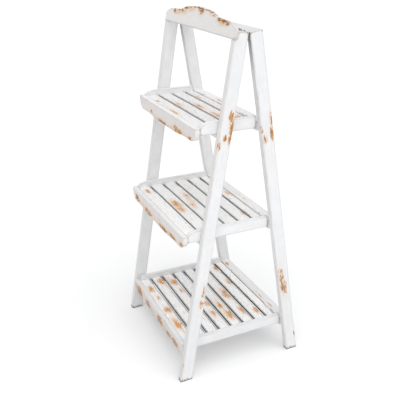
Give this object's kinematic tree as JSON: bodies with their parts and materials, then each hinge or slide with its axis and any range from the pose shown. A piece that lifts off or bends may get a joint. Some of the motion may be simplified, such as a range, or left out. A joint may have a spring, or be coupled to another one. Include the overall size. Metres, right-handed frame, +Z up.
{
  "type": "folding shelf",
  "caption": "Free-standing wooden folding shelf: two leaning frames hinged at the top carry slatted trays that swing up so the frames can close.",
  "frame": {"origin": "on the floor, midway between the feet", "axes": "+Z up, -Y to the front where the crest board is, +X to the right of someone standing before the front and looking at it"},
  "size_m": [0.45, 0.403, 1.0357],
  "materials": {
    "painted_wood": "worn white paint over brown wood",
    "hinge_steel": "dull"
  },
  "bodies": {
    "front_frame": {"crest_rail": "painted_wood", "front_leg_left": "painted_wood", "front_leg_right": "painted_wood", "front_rung_bottom": "painted_wood", "front_rung_middle": "painted_wood", "front_rung_top": "painted_wood", "front_top_rail": "painted_wood", "top_hinge_front_leaf_left": "hinge_steel", "top_hinge_front_leaf_right": "hinge_steel", "top_hinge_pin_left": "hinge_steel", "top_hinge_pin_right": "hinge_steel"},
    "back_frame": {"back_leg_left": "painted_wood", "back_leg_right": "painted_wood", "back_rung_bottom": "painted_wood", "back_rung_middle": "painted_wood", "back_rung_top": "painted_wood", "back_top_rail": "painted_wood", "top_hinge_back_leaf_left": "hinge_steel", "top_hinge_back_leaf_right": "hinge_steel", "tray_hinge_fixed_leaves": "hinge_steel", "tray_hinge_pins": "hinge_steel"},
    "top_tray": {"top_tray_back_batten": "painted_wood", "top_tray_fascia": "painted_wood", "top_tray_hinge_leaves": "hinge_steel", "top_tray_ledgers": "painted_wood", "top_tray_rail_left": "painted_wood", "top_tray_rail_right": "painted_wood", "top_tray_slat_1": "painted_wood", "top_tray_slat_2": "painted_wood", "top_tray_slat_3": "painted_wood", "top_tray_slat_4": "painted_wood"},
    "middle_tray": {"middle_tray_back_batten": "painted_wood", "middle_tray_fascia": "painted_wood", "middle_tray_hinge_leaves": "hinge_steel", "middle_tray_ledgers": "painted_wood", "middle_tray_rail_left": "painted_wood", "middle_tray_rail_right": "painted_wood", "middle_tray_slat_1": "painted_wood", "middle_tray_slat_2": "painted_wood", "middle_tray_slat_3": "painted_wood", "middle_tray_slat_4": "painted_wood", "middle_tray_slat_5": "painted_wood", "middle_tray_slat_6": "painted_wood"},
    "bottom_tray": {"bottom_tray_back_batten": "painted_wood", "bottom_tray_fascia": "painted_wood", "bottom_tray_hinge_leaves": "hinge_steel", "bottom_tray_ledgers": "painted_wood", "bottom_tray_rail_left": "painted_wood", "bottom_tray_rail_right": "painted_wood", "bottom_tray_slat_1": "painted_wood", "bottom_tray_slat_2": "painted_wood", "bottom_tray_slat_3": "painted_wood", "bottom_tray_slat_4": "painted_wood", "bottom_tray_slat_5": "painted_wood", "bottom_tray_slat_6": "painted_wood", "bottom_tray_slat_7": "painted_wood", "bottom_tray_slat_8": "painted_wood"}
  },
  "joints": [
    {"name": "frame_fold", "type": "hinge", "parent": "front_frame", "child": "back_frame", "pos_m": [0, 0, 0.995], "axis": [-1, 0, 0], "range_deg": [0, 16.5]},
    {"name": "top_tray_fold", "type": "hinge", "parent": "back_frame", "child": "top_tray", "pos_m": [0, 0.03771, 0.7627], "axis": [-1, 0, 0], "range_deg": [0, 80]},
    {"name": "middle_tray_fold", "type": "hinge", "parent": "back_frame", "child": "middle_tray", "pos_m": [0, 0.08694, 0.4637], "axis": [-1, 0, 0], "range_deg": [0, 80]},
    {"name": "bottom_tray_fold", "type": "hinge", "parent": "back_frame", "child": "bottom_tray", "pos_m": [0, 0.14424, 0.1157], "axis": [-1, 0, 0], "range_deg": [0, 80]}
  ]
}
